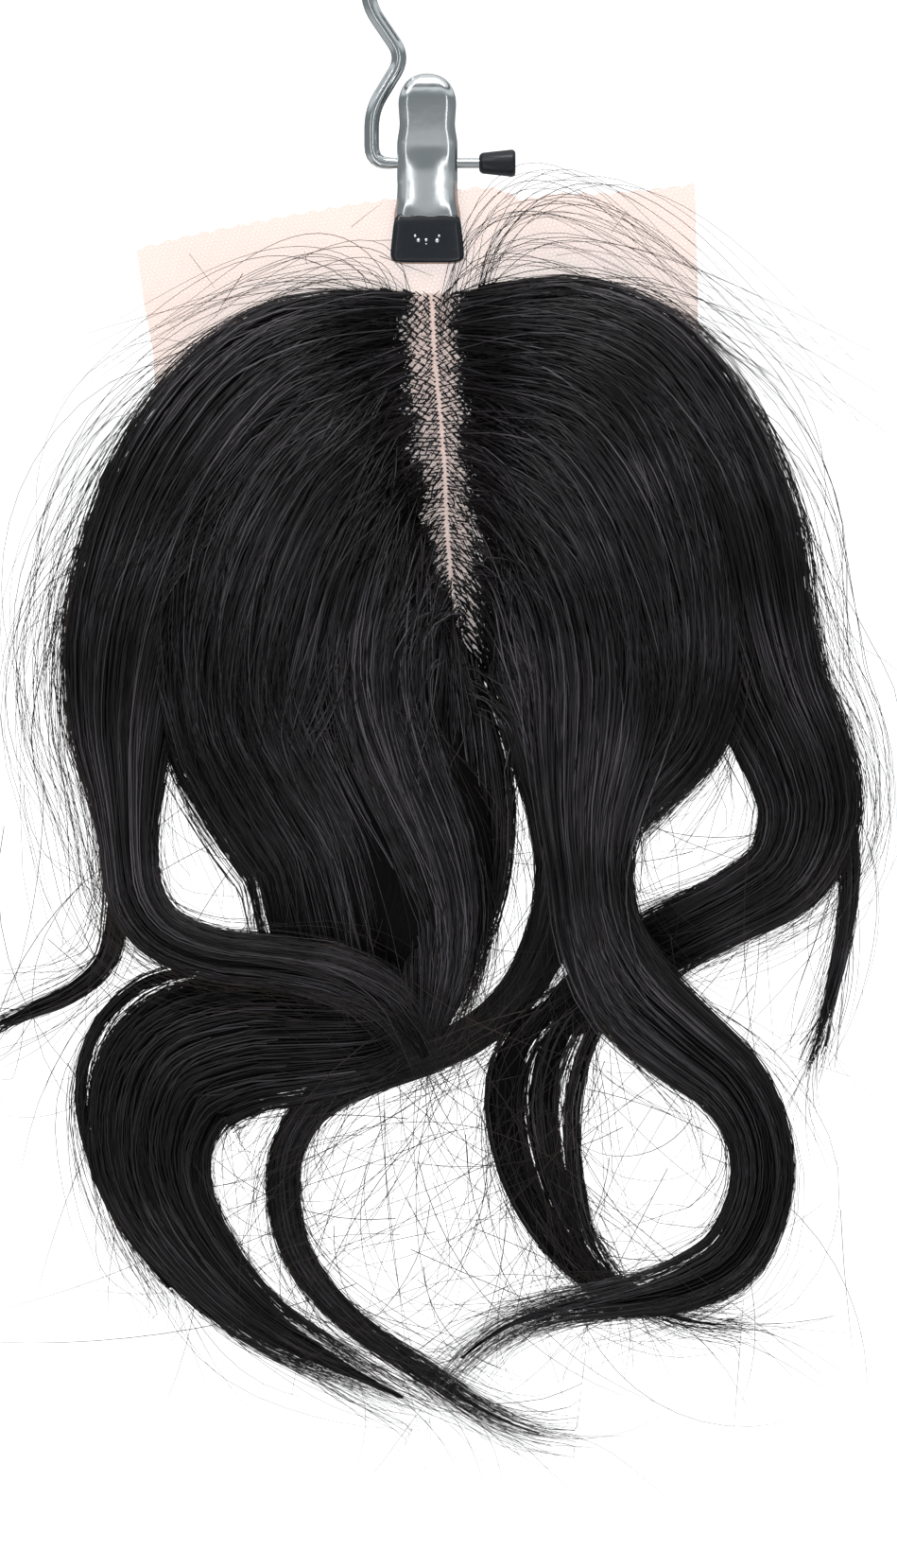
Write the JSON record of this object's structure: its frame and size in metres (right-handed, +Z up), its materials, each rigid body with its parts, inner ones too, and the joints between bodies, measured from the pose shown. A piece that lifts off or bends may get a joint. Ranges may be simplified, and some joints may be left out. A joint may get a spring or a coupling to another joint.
{
  "type": "hair closure on a clip hanger",
  "caption": "Lace hair closure with a middle parting and long wavy locks, hanging from a rubber-booted spring clip on a bent wire hook.",
  "frame": {"origin": "the point inside the top of the hook that bears on the rail or peg it hangs from", "axes": "+X to the right as seen from the hair side, +Y from the hair side to the bare side of the lace, +Z up"},
  "size_m": [0.228, 0.042, 0.4019],
  "materials": {
    "lace_net": "sheer fine net",
    "black_hair": "soft sheen along the strands",
    "chromed_steel": "polished",
    "black_rubber": "smooth, dipped",
    "spring_steel": "drawn wire"
  },
  "bodies": {
    "root": {"lace_base": "lace_net", "hair_left": "black_hair", "hair_right": "black_hair", "clip_front_plate": "chromed_steel", "clip_back_plate": "chromed_steel", "clip_front_boot": "black_rubber", "clip_back_boot": "black_rubber", "clip_spring": "spring_steel", "hook_wire": "chromed_steel", "spindle_cap": "black_rubber"}
  },
  "joints": []
}
